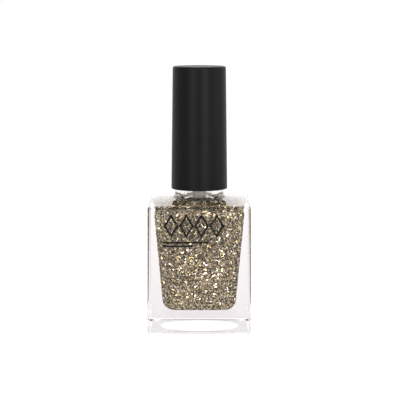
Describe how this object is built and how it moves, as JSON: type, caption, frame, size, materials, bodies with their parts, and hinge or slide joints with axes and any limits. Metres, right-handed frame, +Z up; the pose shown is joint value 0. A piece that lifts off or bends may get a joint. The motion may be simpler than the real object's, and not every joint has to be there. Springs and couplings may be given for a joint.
{
  "type": "nail polish bottle",
  "caption": "Square clear glass bottle of glitter nail polish with a threaded neck and a tall round screw cap that carries the brush.",
  "frame": {"origin": "centre of the face that the bottle stands on", "axes": "+Z up along the cap and neck axis, -Y out of the decorated front face, +X to the right of that face"},
  "size_m": [0.0274, 0.0274, 0.0703],
  "materials": {
    "glass": "clear polished",
    "glitter_lacquer": "dense gold, champagne and silver glitter",
    "steel": "polished",
    "cap_plastic": "soft matt black",
    "inner_plastic": "natural moulded",
    "facing_film": "smooth film",
    "liner_foam": "fine foam",
    "stem_plastic": "natural moulded",
    "bristle": "fine nylon fibre"
  },
  "bodies": {
    "bottle": {"glass_bottle": "glass", "lacquer": "glitter_lacquer", "mixing_balls": "steel"},
    "facing": {"liner_facing": "facing_film"},
    "liner": {"sealing_liner": "liner_foam"},
    "cap": {"overcap": "cap_plastic", "inner_cap": "inner_plastic", "brush_stem": "stem_plastic", "bristle_anchor": "steel", "bristle_tuft": "bristle"}
  },
  "joints": [
    {"name": "cap_lift", "type": "slide", "parent": "bottle", "child": "facing", "axis": [0, 0, 1], "range_m": [0, 0.0508]},
    {"name": "thread_rise", "type": "slide", "parent": "facing", "child": "liner", "axis": [0, 0, 1], "range_m": [0, 0.0032]},
    {"name": "cap_turn", "type": "hinge", "parent": "liner", "child": "cap", "pos_m": [0, 0, 0.0427], "axis": [0, 0, 1], "range_deg": [0, 540]}
  ],
  "couplings": [
    {"joint": "thread_rise", "follows": "cap_turn", "m_per_rad": 0.00033688}
  ]
}
